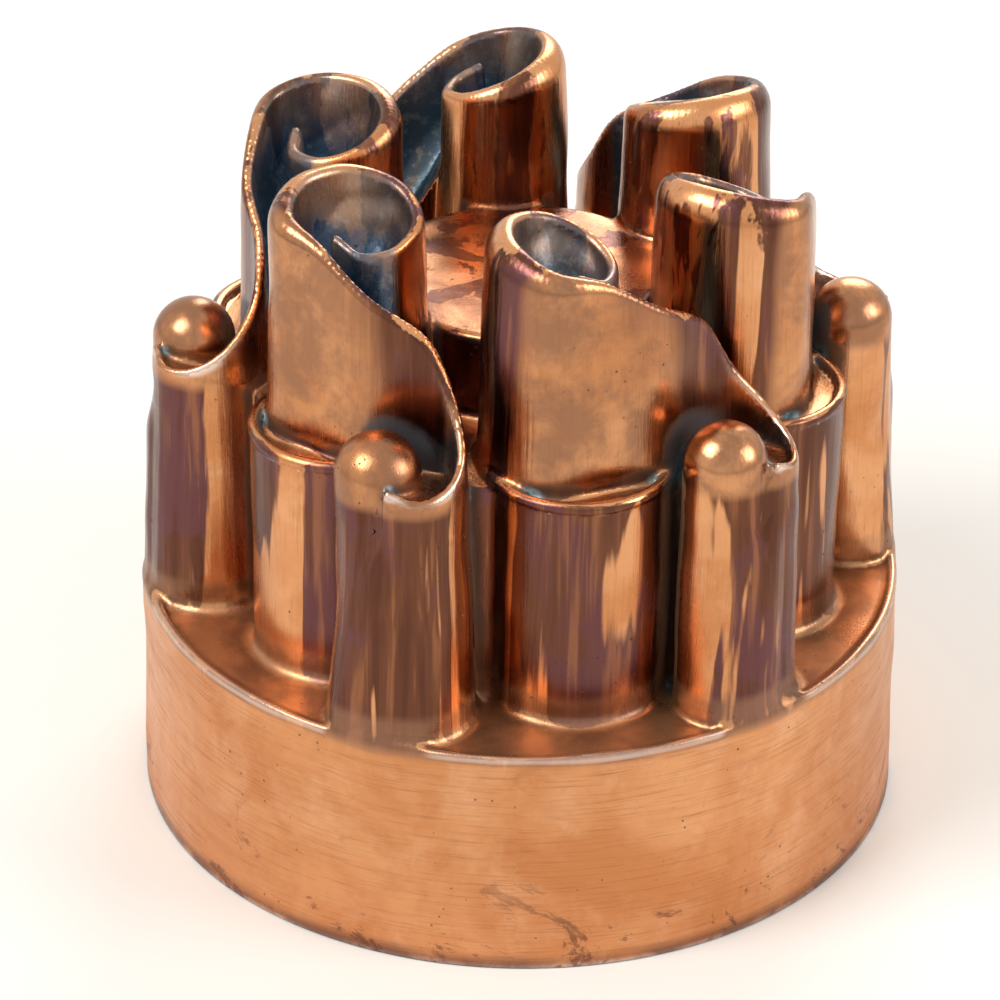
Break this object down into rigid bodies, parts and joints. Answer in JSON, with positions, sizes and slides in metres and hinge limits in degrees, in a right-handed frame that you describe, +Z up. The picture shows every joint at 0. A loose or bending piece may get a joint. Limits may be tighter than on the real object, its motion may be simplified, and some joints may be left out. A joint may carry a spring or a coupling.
{
  "type": "copper jelly mould",
  "caption": "Tall round copper jelly mould, one thin shell open below, with spiral scroll lobes and ball-topped columns in a ring round a flat middle.",
  "frame": {"origin": "middle of the open foot, on the plane the mould stands on", "axes": "+Z up along the mould's axis, -Y towards the camera"},
  "size_m": [0.138, 0.138, 0.1265],
  "materials": {
    "copper_sheet": "worn bare copper outside with patina in the hollows, tinned inside"
  },
  "bodies": {
    "root": {"mould": "copper_sheet"}
  },
  "joints": []
}
